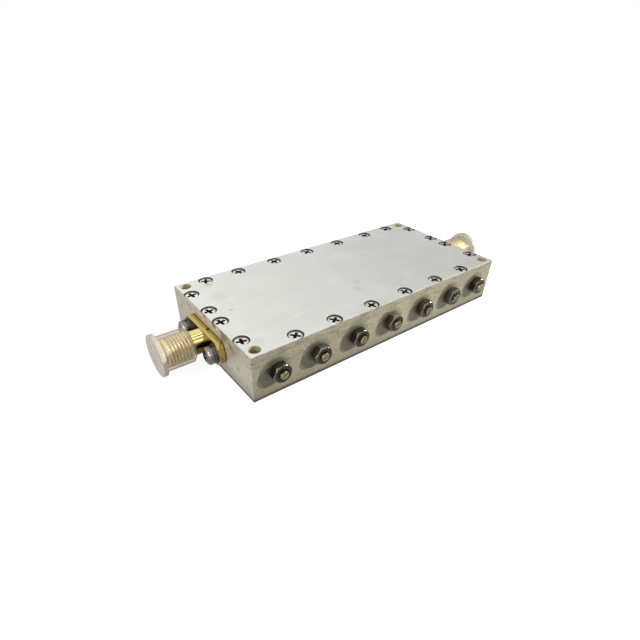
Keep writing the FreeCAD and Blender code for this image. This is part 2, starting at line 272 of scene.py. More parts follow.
class StageSettings(bpy.types.PropertyGroup):
    """Camera, lamps and floor."""
    eye: point("Eye", "Where the camera stands", -66.917, -73.774, 58.750)
    target: point("Target", "What the lens points at", -24.442, -19.936, 5.5)
    roll: FloatProperty(
        name="Roll", description="Tilt of the camera about its own axis", subtype="ANGLE",
        unit="ROTATION", default=math.radians(1.476))
    lens: FloatProperty(name="Lens", description="Focal length", unit="CAMERA", default=24.135)
    shift: FloatVectorProperty(
        name="Shift", description="Shift of the lens, because the picture is a crop", size=2,
        default=(0.0085, 0.0685))
    sky: amount("Sky", "Strength of the even light", 0.25)
    key: amount("Key", "Strength of the low lamp", 3.2)
    fill: amount("Fill", "Strength of the lamp on the left", 1.1)
    box: amount("Box", "Power of the soft box above", 0.36)
    floor: colour("Floor", "Floor under the filter", (0.42, 0.42, 0.42))
    white: amount("White", "Light that the ground adds for the camera", 0.88)
    ground: amount("Ground", "Light that the ground adds in metal and plastic", 0.5)


SETTINGS = {
    "filter_plating": PlatingSettings,
    "filter_cover_screws": CoverScrewSettings,
    "filter_tuning": TuningSettings,
    "filter_jack": JackSettings,
    "filter_flange_screws": FlangeScrewSettings,
    "filter_cap": CapSettings,
    "filter_stage": StageSettings,
}


# Node trees

VECTOR = "NodeSocketVector"
GEOMETRY = "NodeSocketGeometry"
COLOUR_INPUTS = (6, 7)
COLOUR_OUTPUT = 2


def sign(operation):
    """A sign between values, as the Math node that works it out."""
    return lambda self, *others: maths(operation, self, *others)


class Value:
    """An output of a node, which the usual signs can be used with."""
    __add__ = sign("ADD")
    __sub__ = sign("SUBTRACT")
    __mul__ = sign("MULTIPLY")
    __truediv__ = sign("DIVIDE")
    __pow__ = sign("POWER")
    __lt__ = sign("LESS_THAN")
    __gt__ = sign("GREATER_THAN")
    __abs__ = sign("ABSOLUTE")

    def __init__(self, socket):
        self.socket = socket

    def __rsub__(self, other):
        return maths("SUBTRACT", other, self)


class Outputs:
    """The outputs of a node, by name or number."""

    def __init__(self, node):
        self.node = node

    def __getitem__(self, key):
        return Value(self.node.outputs[key])


def join(socket, value):
    """Link a value to an input, or set the input's own value."""
    if isinstance(value, Value):
        socket.id_data.links.new(value.socket, socket)
    elif socket.type == "RGBA" and len(value) == 3:
        socket.default_value = (*value, 1)
    else:
        socket.default_value = value


def add(kind, inputs=None, tree=None, **settings):
    """Add a node to the tree that its inputs come from, with inputs by name or number."""
    inputs = inputs or {}
    if tree is None:
        tree = next(value.socket.id_data for value in inputs.values() if isinstance(value, Value))
    node = tree.nodes.new(kind)
    for key, value in settings.items():
        setattr(node, key, value)
    for key, value in inputs.items():
        join(node.inputs[key], value)
    return Outputs(node)


def maths(operation, *values):
    return add("ShaderNodeMath", dict(enumerate(values)), operation=operation)[0]


def vectors(operation, *values):
    return add("ShaderNodeVectorMath", dict(enumerate(values)), operation=operation)


def least(first, second):
    return maths("MINIMUM", first, second)


def most(first, second):
    return maths("MAXIMUM", first, second)


def separate(vector):
    parts = add("ShaderNodeSeparateXYZ", {0: vector})
    return parts["X"], parts["Y"], parts["Z"]


def spread(value, low, high, to_low=0.0, to_high=1.0):
    """Carry a value from one range to another, held at its ends."""
    return add("ShaderNodeMapRange", {
        "Value": value, "From Min": low, "From Max": high, "To Min": to_low, "To Max": to_high,
    })["Result"]


def mix(amount, first, second):
    return add("ShaderNodeMix", {0: amount, 2: first, 3: second})[0]


def mix_colours(amount, first, second, way="MIX"):
    inputs = dict(zip((0, *COLOUR_INPUTS), (amount, first, second)))
    return add("ShaderNodeMix", inputs, data_type="RGBA", blend_type=way)[COLOUR_OUTPUT]


def open_group(name, kind, inputs, outputs):
    """Start a node group. An input has its default, or its socket type where it has none."""
    tree = bpy.data.node_groups.new(name, kind)
    for label, default in inputs.items():
        bare = isinstance(default, str)
        plain = "NodeSocketFloat" if isinstance(default, float) else VECTOR
        socket = tree.interface.new_socket(
            name=label, in_out="INPUT", socket_type=default if bare else plain)
        if not bare:
            socket.default_value = default
    for label, socket_type in outputs.items():
        tree.interface.new_socket(name=label, in_out="OUTPUT", socket_type=socket_type)
    given = Outputs(tree.nodes.new("NodeGroupInput"))
    return given, tree.nodes.new("NodeGroupOutput").inputs


def use_group(name, inputs):
    """Use a shader group. Its inputs are set after it has its tree."""
    tree = inputs["Place"].socket.id_data
    node = tree.nodes.new("ShaderNodeGroup")
    node.node_tree = bpy.data.node_groups[name]
    for key, value in inputs.items():
        join(node.inputs[key], value)
    return Outputs(node)


def noise(place, size, detail=2.0, rough=0.5):
    return add("ShaderNodeTexNoise", {
        "Vector": place, "Scale": size, "Detail": detail, "Roughness": rough})["Fac"]


# Shader groups

def make_grain_group():
    """Fine streaks and slow clouds of a brushed or turned metal."""
    given, leave = open_group(
        "metal grain", "ShaderNodeTree",
        {"Place": VECTOR, "Stretch": (1.0, 1.0, 1.0), "Cloud size": 150.0},
        {"Streaks": "NodeSocketFloat", "Clouds": "NodeSocketFloat"})
    drawn = vectors("MULTIPLY", given["Place"], given["Stretch"])["Vector"]
    join(leave["Streaks"], spread(noise(drawn, 1.0, 3.0, 0.6), 0.3, 0.7))
    join(leave["Clouds"], spread(noise(given["Place"], given["Cloud size"], 3.0, 0.55), 0.32, 0.68))


def make_stain_group():
    """A stain with a broken outline about a given point."""
    given, leave = open_group(
        "stain", "ShaderNodeTree",
        {"Place": VECTOR, "Centre": (0.0, 0.0, 0.0), "Reach": MM, "Ragged": 1.6},
        {"Mask": "NodeSocketFloat"})
    fraction = vectors("DISTANCE", given["Place"], given["Centre"])["Value"] / given["Reach"]
    broken = noise(given["Place"], 1500.0, 4.0, 0.65) - 0.5
    join(leave["Mask"], spread(broken * given["Ragged"] + fraction, 1.0, 0.15))


def make_block_edge_group():
    """Worn edges of a block: high where two of its faces are both close."""
    given, leave = open_group(
        "block edges", "ShaderNodeTree",
        {"Place": VECTOR, "Bottom": 0.0, "Top": TOP, "Width": 0.3 * MM},
        {"Mask": "NodeSocketFloat"})
    x, y, z = separate(given["Place"])
    from_end = HALF_LENGTH - abs(x)
    from_side = HALF_WIDTH - abs(y)
    from_face = least(given["Top"] - z, z - given["Bottom"])
    second = most(least(from_end, from_side), least(most(from_end, from_side), from_face))
    reach = second / given["Width"] + noise(given["Place"], 900.0, 3.0, 0.7)
    join(leave["Mask"], spread(reach, 1.2, 0.5))


# Geometry trees

def make_thread_tree():
    """Cut a helical thread into a turned shaft that stands along Z."""
    given, leave = open_group(
        "cut thread", "GeometryNodeTree",
        {"Geometry": GEOMETRY, "Pitch": 0.4 * MM, "Depth": 0.2 * MM, "Start": 0.0, "End": MM,
         "Core": 0.5 * MM},
        {"Geometry": GEOMETRY})
    pitch = given["Pitch"]
    depth = given["Depth"]
    x, y, z = separate(add("GeometryNodeInputPosition", tree=given.node.id_data)[0])
    radius = maths("SQRT", maths("MULTIPLY_ADD", x, x, y * y))
    turn = maths("ARCTAN2", y, x) / (2 * math.pi)
    phase = maths("FRACT", z / pitch - turn + WHOLE_TURNS)
    groove = spread(abs(maths("MULTIPLY_ADD", phase, 2.0, -1.0)), 0.12, 0.84, 1.0, 0.0)
    from_start = (z - given["Start"]) / pitch
    from_end = (given["End"] - z) / pitch
    inside = spread(from_start, 0.0, 0.5) * spread(from_end, 0.0, 0.5)
    outer = radius > given["Core"]
    cut = groove * inside * (outer * depth)
    factor = (radius - cut) / most(radius, TINY)
    moved = add("ShaderNodeCombineXYZ", {"X": x * factor, "Y": y * factor, "Z": z})[0]
    noted = add("GeometryNodeStoreNamedAttribute", {
        "Geometry": given["Geometry"], "Name": "groove", "Value": cut / depth,
    }, data_type="FLOAT", domain="POINT")[0]
    shaped = add("GeometryNodeSetPosition", {"Geometry": noted, "Selection": outer, "Position": moved})
    join(leave["Geometry"], shaped[0])


def make_copies_tree():
    """Set a copy of a part at every point, turned as the point says."""
    given, leave = open_group(
        "fastener copies", "GeometryNodeTree",
        {"Geometry": GEOMETRY, "Part": "NodeSocketObject", "Finish": "NodeSocketMaterial", "Size": 1.0},
        {"Geometry": GEOMETRY})
    facing = add(
        "GeometryNodeInputNamedAttribute", {"Name": "facing"}, given.node.id_data,
        data_type="FLOAT_VECTOR")
    copies = add("GeometryNodeInstanceOnPoints", {
        "Points": given["Geometry"],
        "Instance": add("GeometryNodeObjectInfo", {"Object": given["Part"]})["Geometry"],
        "Rotation": add("FunctionNodeEulerToRotation", {0: facing["Attribute"]})[0],
        "Scale": given["Size"],
    })
    real = add("GeometryNodeRealizeInstances", {"Geometry": copies[0]})
    finished = add("GeometryNodeSetMaterial", {"Geometry": real[0], "Material": given["Finish"]})
    join(leave["Geometry"], finished[0])


TREES = (make_grain_group, make_stain_group, make_block_edge_group, make_thread_tree, make_copies_tree)


# Meshes

def link(data):
    """An object for a mesh, a lamp or a camera, in the scene and under the same name."""
    thing = bpy.data.objects.new(data.name, data)
    bpy.context.scene.collection.objects.link(thing)
    return thing


def mesh_from(name, bm):
    """A plain mesh from bmesh data, its faces pointing outwards."""
    bmesh.ops.recalc_face_normals(bm, faces=bm.faces)
    mesh = bpy.data.meshes.new(name)
    bm.to_mesh(mesh)
    bm.free()
    return mesh


def smooth(mesh, angle=SMOOTH_ANGLE):
    """Smooth shading that stops at edges."""
    mesh.shade_smooth()
    mesh.set_sharp_from_angle(angle=angle)


def settle(piece):
    """Make what the modifiers give the piece's own plain mesh."""
    depsgraph = bpy.context.evaluated_depsgraph_get()
    mesh = bpy.data.meshes.new_from_object(
        piece.evaluated_get(depsgraph), preserve_all_data_layers=True, depsgraph=depsgraph)
    piece.modifiers.clear()
    former = piece.data
    piece.data = mesh
    bpy.data.meshes.remove(former)
    mesh.name = piece.name


def discard(piece):
    mesh = piece.data
    bpy.data.objects.remove(piece)
    bpy.data.meshes.remove(mesh)


def run_tree(piece, tree_name, inputs):
    """Run a geometry tree on a piece and keep the result. Inputs are given by name."""
    tree = bpy.data.node_groups[tree_name]
    modifier = piece.modifiers.new(tree_name, "NODES")
    modifier.node_group = tree
    for item in tree.interface.items_tree:
        if item.item_type == "SOCKET" and item.in_out == "INPUT" and item.name in inputs:
            modifier[item.identifier] = inputs[item.name]
    settle(piece)


def combine(piece, other, operation):
    """Cut the other piece away, or add it, and discard it."""
    modifier = piece.modifiers.new("combine", "BOOLEAN")
    modifier.operation = operation
    modifier.solver = "EXACT"
    modifier.object = other
    settle(piece)
    discard(other)


def rounded(points, steps=3):
    """Round each (radius, height, rounding) corner of a profile by its own amount."""
    result = []
    for index, (radius, height, amount) in enumerate(points):
        here = Vector((radius, height))
        if amount == 0 or index in (0, len(points) - 1):
            result.append((radius, height))
            continue
        before = Vector(points[index - 1][:2]) - here
        after = Vector(points[index + 1][:2]) - here
        first = here + before.normalized() * min(amount, before.length / 2)
        last = here + after.normalized() * min(amount, after.length / 2)
        for step in range(steps + 1):
            t = step / steps
            spot = first * (1 - t) ** 2 + here * 2 * t * (1 - t) + last * t * t
            result.append((spot.x, spot.y))
    return result


def shaft(radius, low, high, pitch):
    """Evenly spaced profile points along a shaft, close enough for a thread."""
    count = max(2, round((high - low) / pitch * RINGS_PER_PITCH))
    return [(radius, low + (high - low) * i / count) for i in range(count + 1)]


def bridge(bm, low, high):
    """Faces between two rings of vertices. A ring of one vertex is a point."""
    for i in range(max(len(low), len(high))):
        corners = [low[i % len(low)], low[(i + 1) % len(low)],
                   high[(i + 1) % len(high)], high[i % len(high)]]
        face = list(dict.fromkeys(corners))
        if len(face) > 2:
            bm.faces.new(face)


def turned(name, profile, segments, closed=False):
    """Turn a profile of (radius, height) about Z. A closed profile makes a ring."""
    bm = bmesh.new()
    angles = [2 * math.pi * i / segments for i in range(segments)]
    rings = []
    for radius, height in profile:
        if radius < TINY:
            rings.append([bm.verts.new((0, 0, height))])
        else:
            rings.append([
                bm.verts.new((radius * math.cos(a), radius * math.sin(a), height)) for a in angles])
    neighbours = list(zip(rings, rings[1:]))
    if closed:
        neighbours.append((rings[-1], rings[0]))
    for low, high in neighbours:
        bridge(bm, low, high)
    return mesh_from(name, bm)


def prism(name, outline, low, high, edge=0.0):
    """Raise an outline of (x, y) points from low to high, its upper edge broken."""
    bm = bmesh.new()
    base = bm.faces.new([bm.verts.new((x, y, low)) for x, y in outline])
    raised = bmesh.ops.extrude_face_region(bm, geom=[base])
    tops = [item for item in raised["geom"] if isinstance(item, bmesh.types.BMVert)]
    bmesh.ops.translate(bm, verts=tops, vec=(0, 0, high - low))
    if edge:
        rim = [e for e in bm.edges if all(abs(v.co.z - high) < TINY for v in e.verts)]
        bmesh.ops.bevel(bm, geom=rim, offset=edge, segments=2, profile=0.7, affect="EDGES")
    return mesh_from(name, bm)


def cross_outline(span, wing, inner):
    """Outline of a cross with softened inner corners."""
    half, narrow = span / 2, wing / 2
    arm = [(half, -narrow), (half, narrow), (narrow + inner, narrow), (narrow, narrow + inner)]
    points = []
    for quarter in range(4):
        turn = Matrix.Rotation(math.radians(90 * quarter), 2)
        points += [tuple(turn @ Vector(point)) for point in arm]
    return points


def cross_cutter(top, span, foot, wing, depth):
    """Tapered cross that cuts a screw's recess, open above the head."""
    over, centre_point, corner = 0.25 * MM, 0.15 * MM, 0.12 * MM
    slope = (span - foot) / depth
    levels = (
        (top + over, span + slope * over, wing * 1.02),
        (top - depth, foot, wing * 0.72),
    )
    bm = bmesh.new()
    rings = []
    for height, across, width in levels:
        inner = min(corner, (across - width) / 4)
        rings.append([bm.verts.new((x, y, height)) for x, y in cross_outline(across, width, inner)])
    bridge(bm, *rings)
    bm.faces.new(rings[0])
    bridge(bm, rings[1], [bm.verts.new((0, 0, top - depth - centre_point))])
    return link(mesh_from("cross", bm))


def mark_faces(mesh, name, test):
    """Give each face what a test says, from 0 to 1, for the finish to read."""
    values = [float(test(face)) for face in mesh.polygons]
    attribute = mesh.attributes.new(name, "FLOAT", "FACE")
    attribute.data.foreach_set("value", values)


def hollowed(part, inside):
    """Mark the faces whose middle is in a recess, and smooth the part."""
    mark_faces(part.data, "hollow", lambda face: inside(face.center))
    smooth(part.data)
    return part


def solid_boxes(node):
    """Lowest and highest corners of each separate solid of a CAD node, in order of X, then Y."""
    bm = bmesh.new()
    bm.from_mesh(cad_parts[node].data)
    bmesh.ops.remove_doubles(bm, verts=bm.verts, dist=MERGE)
    waiting = set(bm.verts)
    boxes = []
    while waiting:
        island = [waiting.pop()]
        for vert in island:
            others = [edge.other_vert(vert) for edge in vert.link_edges]
            fresh = [other for other in others if other in waiting]
            waiting.difference_update(fresh)
            island += fresh
        low = Vector([min(vert.co[i] for vert in island) for i in range(3)])
        high = Vector([max(vert.co[i] for vert in island) for i in range(3)])
        boxes.append((low, high))
    bm.free()
    return sorted(boxes, key=lambda box: (round(box[0].x, 4), box[0].y))


def copies(name, part, places, finish, nodes, slot):
    """Copies of a part at each (centre, rotation) as one piece that stands for the CAD nodes."""
    mesh = bpy.data.meshes.new(name)
    mesh.from_pydata([centre for centre, rotation in places], [], [])
    facing = mesh.attributes.new("facing", "FLOAT_VECTOR", "POINT")
    for item, (centre, rotation) in zip(facing.data, places):
        item.vector = rotation.to_euler()
    piece = link(mesh)
    run_tree(piece, "fastener copies", {"Part": part, "Finish": finish})
    discard(part)
    if not piece.data.polygons:
        raise RuntimeError(f"{name} came out empty")
    stand_for(piece, nodes)
    return piece


def on_near_wall(nodes, turns, corner):
    """Places of like fasteners, at corner 0 or 1 of their boxes along Y, and their length."""
    places = []
    for node, turn in zip(nodes, turns, strict=True):
        box = low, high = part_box(node)
        middle = (low + high) / 2
        places.append((Vector((middle.x, box[corner].y, middle.z)), TOWARDS_NEAR @ spin(turn)))
    return places, high.y - low.y


def stand_for(piece, nodes):
    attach(piece, BODY)
    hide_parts(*nodes)


def stand_on_port(piece, name, side, finish, node):
    """Name a piece of a jack, carry it to its end of the block and let it stand for its node."""
    piece.name = piece.data.name = name
    piece.data.transform(Matrix.Translation(port_centre(side)) @ OUTWARDS[side])
    piece.data.materials.append(finish)
    stand_for(piece, [node])


def finish_nodes(names, material):
    """Give CAD nodes a finish."""
    for name in names:
        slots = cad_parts[name].data.materials
        slots.clear()
        slots.append(material)


def port_centre(side):
    """Middle of a jack at the block's end face."""
    low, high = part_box(f"{side}_jack_contact")
    return Vector((SIDES[side] * HALF_LENGTH, (low.y + high.y) / 2, (low.z + high.z) / 2))


# Materials

def new_material(name):
    """A material, its shader's inputs and the object's coordinates."""
    material = bpy.data.materials.new(name)
    material.use_nodes = True
    tree = material.node_tree
    return material, tree.nodes["Principled BSDF"].inputs, add("ShaderNodeTexCoord", tree=tree)["Object"]


def set_bump(shader, height, strength, distance):
    bump = add("ShaderNodeBump", {"Height": height, "Strength": strength, "Distance": distance})
    join(shader["Normal"], bump[0])


def metal_grain(place, stretch, cloud_size):
    """Streaks and clouds of a metal, drawn out by three factors along X, Y and Z."""
    grain = use_group("metal grain", {"Place": place, "Stretch": stretch, "Cloud size": cloud_size})
    return grain["Streaks"], grain["Clouds"]


def stain(place, centre, reach, ragged=1.6):
    inputs = {"Place": place, "Centre": centre, "Reach": reach, "Ragged": ragged}
    return use_group("stain", inputs)["Mask"]


def shaded(base, streaks, clouds, fine, slow):
    """Lighten and darken a colour a little with the grain."""
    level = (streaks * fine + (1 - fine / 2)) * (clouds * slow + (1 - slow / 2))
    grey = add("ShaderNodeCombineColor", {0: level, 1: level, 2: level})[0]
    return mix_colours(1.0, base, grey, "MULTIPLY")


def add_marks(place, base, marks, colour):
    for centre, reach, strength in marks:
        mask = stain(place, [part * MM for part in centre], reach * MM)
        base = mix_colours(mask * strength, base, colour)
    return base


def add_nut_painted_shade(place, base):
    """Painted shade on the near wall about each lock nut: its painted reflection and its painted shadow.
    """
    for i in STATIONS:
        low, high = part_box(f"lock_nut_{i}")
        middle = (low + high) / 2
        for left, up, reach, ragged, first, full, strength, colour in NUT_PAINTED_SHADE:
            centre = (middle.x - left * MM, high.y, middle.z + up * MM)
            mask = stain(place, centre, reach * MM, ragged)
            base = mix_colours(spread(mask, first, full, 0.0, strength), base, colour)
    return base


def plated_walls(settings, is_cover, place, is_end, streaks, clouds):
    """Colour of the sides, darker than the top as painted shade: grain, marks, specks, smears, darker
    towards the left, and on the housing painted shade about the nuts and towards the bottom.
    """
    x, _, z = separate(place)
    side = settings.cover_edge if is_cover else settings.side
    # The side, cover edge and end colours are darker than the top's as painted shade
    walls = mix_colours(is_end, side, settings.end)
    walls = shaded(walls, streaks, clouds, 0.10, 0.16)
    walls = add_marks(place, walls, SIDE_MARKS, settings.grime_and_shade)
    # Darker towards the left end of the long faces
    darker_to_left = spread(x, -HALF_LENGTH, 0.1 * HALF_LENGTH, 0.30, 0.0) * (1.0 - is_end)
    walls = mix_colours(darker_to_left, walls, settings.grime_and_shade)
    specks = spread(noise(place, 1700.0), 0.50, 0.68, 0.0, 0.24)
    drawn = vectors("MULTIPLY", place, (420.0, 420.0, 1500.0))["Vector"]
    smears = spread(noise(drawn, 1.0, 3.0), 0.50, 0.70, 0.0, 0.36)
    higher = spread(z, 5.5 * MM, 9.0 * MM, 0.2, 1.0)
    walls = mix_colours(specks + smears * higher, walls, settings.grime_and_shade)
    if is_cover:
        return walls
    # Painted reflection and painted shadow of each lock nut
    walls = add_nut_painted_shade(place, walls)
    # Painted shade: darker towards the bottom of the housing's walls, with a darker line along the lower
    # edge
    foot = spread(clouds * (-0.8 * MM) + z, 3.6 * MM, 0.0, 0.0, 0.40)
    edge_line_shade = spread(z, 1.1 * MM, 0.5 * MM, 0.0, 0.6)
    return mix_colours(foot + edge_line_shade, walls, settings.grime_and_shade)


def silver_plate(name, settings, is_cover):
    """Silver plating: bright and brushed on top, duller on the sides with painted shade, painted shade
    on the countersink walls, brown in the holes.
    """
    material, shader, place = new_material(name)
    x, y, z = separate(place)
    low, high = (SEAM, TOP) if is_cover else (0.0, SEAM)
    streaks, clouds = metal_grain(place, (55.0, 2600.0, 2600.0), 140.0)
    upright = metal_grain(place, (2600.0, 70.0, 1500.0), 190.0)[0]
    is_top = spread(z, TOP - 0.4 * SKIN, TOP - 0.1 * SKIN)
    from_end = HALF_LENGTH - abs(x)
    from_side = HALF_WIDTH - abs(y)
    is_end = spread(from_end, 2 * SKIN, SKIN)
    streaks = mix(is_end, streaks, upright)
    walls = plated_walls(settings, is_cover, place, is_end, streaks, clouds)
    face = shaded(settings.top, streaks, clouds, 0.07, 0.06)
    face = add_marks(place, face, TOP_MARKS, settings.stain)
    base = mix_colours(is_top, walls, face)
    seam = spread(abs(z - SEAM), 0.22 * MM, 0.10 * MM, 0.0, 0.15)
    base = mix_colours(seam, base, settings.grime_and_shade)
    to_hole = add("ShaderNodeCombineXYZ", {
        "X": abs(x) - (HALF_LENGTH - CORNER_HOLE_INSET),
        "Y": abs(y) - (HALF_WIDTH - CORNER_HOLE_INSET),
    })[0]
    in_hole = vectors("LENGTH", to_hole)["Value"] < CORNER_HOLE_RADIUS + FLAT
    # Painted shade on the countersink walls: the cut faces below the top take the countersink colour
    cut = (z < TOP - SKIN) * (least(from_end, from_side) > 2 * SKIN)
    base = mix_colours(cut, base, settings.sink)
    join(shader["Base Color"], mix_colours(in_hole, base, settings.hole))
    edges = use_group(
        "block edges", {"Place": place, "Bottom": low, "Top": high, "Width": 0.4 * MM})["Mask"]
    metal = spread(is_end, 0.0, 1.0, settings.side_metal, settings.end_metal)
    metal = mix(is_top, metal, settings.top_metal)
    bare = most(most(seam, edges), most(cut, in_hole))
    join(shader["Metallic"], metal * (1.0 - bare))
    rough = streaks * 0.10 + (settings.roughness - 0.05)
    rough = rough + cut * 0.3 + seam * 0.5 + edges * 0.35 + clouds * 0.06
    join(shader["Roughness"], rough)
    set_bump(shader, streaks, 0.25, 0.012 * MM)
    return material


def attribute(place, name):
    """What the mesh says of each face or point under a name."""
    return add("ShaderNodeAttribute", tree=place.socket.id_data, attribute_name=name)["Fac"]


def worn_metal(name, base, roughness, stretch, dirt=None, fine=0.10, slow=0.18, hollow=0.0, coat=0.0,
               groove=None, worn=None, more=None):
    """A turned or pressed metal with fine grain, clouds and dirt, painted shade in its recess and in its
    thread's grooves.
    """
    material, shader, place = new_material(name)
    streaks, clouds = metal_grain(place, stretch, 500.0)
    tone = shaded(base, streaks, clouds, fine, slow)
    rough = clouds * 0.14 + (roughness - 0.07)
    if dirt:
        tone = mix_colours(spread(clouds, 0.6, 1.0, 0.0, 0.5), tone, dirt)
    # Painted shade in the thread's grooves
    if groove:
        tone = mix_colours(spread(attribute(place, "groove"), 0.4, 0.9), tone, groove)
    if worn:
        tone = mix_colours(attribute(place, "worn"), tone, worn)
    # Painted shade in the recess
    if hollow:
        recess = attribute(place, "hollow")
        tone = mix_colours(recess * hollow, tone, RECESS_SHADE)
        rough = recess * 0.35 + rough
    if more:
        tone, rough = more(place, tone, rough)
    join(shader["Base Color"], tone)
    join(shader["Roughness"], rough)
    join(shader["Metallic"], 1.0)
    join(shader["Coat Weight"], coat)
    join(shader["Coat Roughness"], 0.12)
    set_bump(shader, streaks, 0.2, 0.01 * MM)
    return material


def jack_gold(settings):
    """Gold plate: bright on the turned parts, deeper on the flange, with painted shade on the flange's
    front, along the wall, under the collar, in the nick and in the thread's grooves.
    """
    def more(place, tone, rough):
        x, _, z = separate(place)
        out = abs(x) - HALF_LENGTH
        flange, barrel = settings.flange, settings.barrel_start
        on_flange = spread(out, flange + 0.05 * MM, flange + 0.01 * MM)
        front_shade = on_flange * spread(out, flange - 0.04 * MM, flange)
        on_collar = spread(out, barrel, barrel - 0.1 * MM) * (1.0 - on_flange)
        beneath_shade = spread(z, 7.3 * MM, 6.5 * MM, 0.0, 0.95)
        nick = stain(place, (-HALF_LENGTH - 0.4 * MM, -0.3 * MM, 8.5 * MM), 0.55 * MM, 0.3)
        # Painted shade on the flange's front, along the wall, under the collar and in the nick
        for amount, colour in (
            (on_flange, srgb(190, 166, 94)),
            (front_shade * 0.85, srgb(84, 62, 28)),
            (spread(out, 0.30 * MM, 0.14 * MM, 0.0, 0.95), srgb(46, 34, 16)),
            (beneath_shade * on_collar, srgb(88, 64, 28)),
            (spread(nick, 0.15, 0.4), srgb(24, 16, 6)),
        ):
            tone = mix_colours(amount, tone, colour)
        return tone, rough + spread(out, barrel, barrel + 0.2 * MM, 0.0, 0.22)

    # The groove colour is painted shade in the thread
    return worn_metal(
        "gold plate", srgb(236, 214, 140), 0.08, (120.0, 900.0, 900.0), slow=0.12,
        groove=srgb(158, 118, 52), more=more)


def cap_plastic(settings, floor):
    """Milky, see-through plastic with faint flow marks, thicker past the floor of the cap."""
    material, shader, place = new_material("cap plastic")
    tree = material.node_tree
    streaks, clouds = metal_grain(place, (180.0, 900.0, 900.0), 260.0)
    facing = add("ShaderNodeLayerWeight", {"Blend": 0.5}, tree)["Facing"]
    mirrored = add("ShaderNodeLightPath", tree=tree)["Is Glossy Ray"]
    out = abs(separate(place)[0])
    on_wall = spread(out, floor, floor - 0.3 * MM)
    tone = shaded(settings.plastic, streaks, clouds, 0.03, 0.06)
    tone = mix_colours(spread(facing, 0.25, 0.7, 0.0, 0.9) * on_wall, tone, settings.outline)
    join(shader["Base Color"], tone)
    join(shader["Roughness"], clouds * 0.08 + 0.22)
    hidden = spread(out, floor - 0.05 * MM, floor + 0.05 * MM, settings.milky, settings.milky_end)
    hidden = most(hidden, spread(facing, 0.28, 0.86, 0.0, 0.86))
    join(shader["Alpha"], (clouds * 0.06 + hidden) * (mirrored * -0.9 + 1.0))
    set_bump(shader, clouds, 0.1, 0.03 * MM)
    return material


def insulator_plastic():
    material, shader, place = new_material("white insulator")
    streaks, clouds = metal_grain(place, EVEN, 700.0)
    join(shader["Base Color"], shaded(srgb(236, 234, 228), streaks, clouds, 0.03, 0.05))
    join(shader["Roughness"], spread(clouds, 0.0, 1.0, 0.40, 0.52))
    return material


# Parts, each built about +Z with its seat or face at zero

def screw_part(name, size, head, top, tip, segments, start=None):
    """Turn a screw from the profile of its head, with a threaded shank from top down to its tip."""
    body = size.shank / 2
    profile = head + shaft(body, top if start is None else start, -tip + SCREW_POINT, size.pitch)
    profile += [(body - SCREW_POINT, -tip), (0, -tip)]
    part = link(turned(name, profile, segments))
    cut_thread(part, size, -tip, top, body)
    return part


def cut_thread(part, size, start, end, radius):
    run_tree(part, "cut thread", {
        "Pitch": size.pitch, "Depth": size.thread, "Start": start, "End": end,
        "Core": radius - THREAD_GAP})


def cut_cross(part, size, top):
    cutter = cross_cutter(top, size.cross, size.cross_foot, size.wing, size.depth)
    combine(part, cutter, "DIFFERENCE")


def cover_screw_part(size):
    head, body = size.head / 2, size.shank / 2
    neck = size.land + head - body
    profile = [(0, 0)] + rounded([
        (head - 0.3 * MM, 0, 0),
        (head, 0, 0.06 * MM),
        (head, -size.land, 0),
    ]) + [(body, -neck)]
    part = screw_part("cover screw", size, profile, -neck - THREAD_GAP, size.overall, 40)
    cut_cross(part, size, 0)
    return hollowed(part, lambda c: -neck < c.z < -FLAT and c.xy.length < size.cross / 2)


def flange_screw_part(size):
    """Round-headed screw with a domed head."""
    head, body, top = size.head / 2, size.shank / 2, size.height
    profile = [(0, top)]
    for step in range(1, 13):
        across = step / 12
        fall = 0.62 * top * (1 - math.sqrt(1 - across ** 2 * 0.94))
        profile.append((head * across, top - fall))
    profile += rounded([profile[-1] + (0,), (head, 0, 0.08 * MM), (body, 0, 0)])[1:]
    part = screw_part("flange screw", size, profile, -THREAD_GAP, size.reach, 48)
    cut_cross(part, size, top)
    low, high, reach = top - size.depth - 0.2 * MM, top - 0.22 * MM, size.cross / 2.05
    return hollowed(part, lambda c: low < c.z < high and c.xy.length < reach)


def tuning_screw_part(size, overall):
    """Headless screw with a slot in its end."""
    body = size.shank / 2
    flat, chamfer, fall = 0.25 * MM, 0.12 * MM, 0.14 * MM
    profile = [(0, 0)] + rounded([
        (body - flat, 0, 0),
        (body - chamfer, 0, chamfer / 3),
        (body, -fall, 0),
    ])
    part = screw_part("tuning screw", size, profile, -THREAD_GAP, overall, 32, start=-fall - FLAT)
    half, wide = size.slot / 2, body + MM
    outline = [(-wide, -half), (wide, -half), (wide, half), (-wide, half)]
    combine(part, link(prism("slot", outline, -size.slot_depth, MM)), "DIFFERENCE")
    deep = -0.8 * size.slot_depth
    return hollowed(part, lambda c: c.z < deep and abs(c.y) < half and c.xy.length < body)


